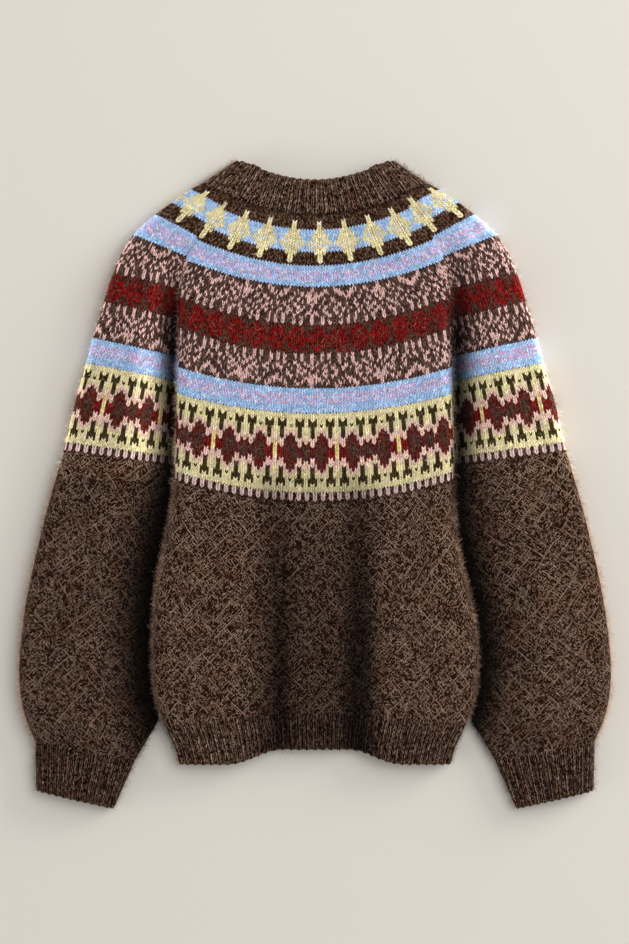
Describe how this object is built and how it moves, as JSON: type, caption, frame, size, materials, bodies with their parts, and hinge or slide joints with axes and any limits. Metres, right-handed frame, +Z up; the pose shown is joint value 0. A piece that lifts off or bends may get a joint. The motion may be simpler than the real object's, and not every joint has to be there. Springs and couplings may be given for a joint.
{
  "type": "fair isle cardigan",
  "caption": "Round-yoke knitted cardigan with a banded colourwork yoke, full sleeves and ribbed edges, lying flat with its back up.",
  "frame": {"origin": "middle of the garment's box, on the surface it lies on", "axes": "+X across, with the garment's own left side at -X; +Y up the middle of the back to the collar; +Z up from the surface, out of the back"},
  "size_m": [0.5948, 0.6519, 0.0351],
  "materials": {
    "fair_isle_wool": "matte stranded knitting in brown, pale yellow, light blue, pink and dark red wool",
    "brown_wool": "matte, hairy dark brown wool flecked with tan",
    "brown_rib": "matte dark brown wool in narrow ribs",
    "horn": "satin dark horn"
  },
  "bodies": {
    "root": {"back": "brown_wool", "band_left": "brown_rib", "band_right": "brown_rib", "button_1": "horn", "button_2": "horn", "button_3": "horn", "button_4": "horn", "button_5": "horn", "button_6": "horn", "button_7": "horn", "collar_back": "brown_rib", "collar_front_left": "brown_rib", "collar_front_right": "brown_rib", "cuff_left": "brown_rib", "cuff_right": "brown_rib", "front_left": "brown_wool", "front_right": "brown_wool", "hem_back": "brown_rib", "hem_front_left": "brown_rib", "hem_front_right": "brown_rib", "sleeve_left": "brown_wool", "sleeve_right": "brown_wool", "yoke_back": "fair_isle_wool", "yoke_front_left": "fair_isle_wool", "yoke_front_right": "fair_isle_wool"}
  },
  "joints": []
}
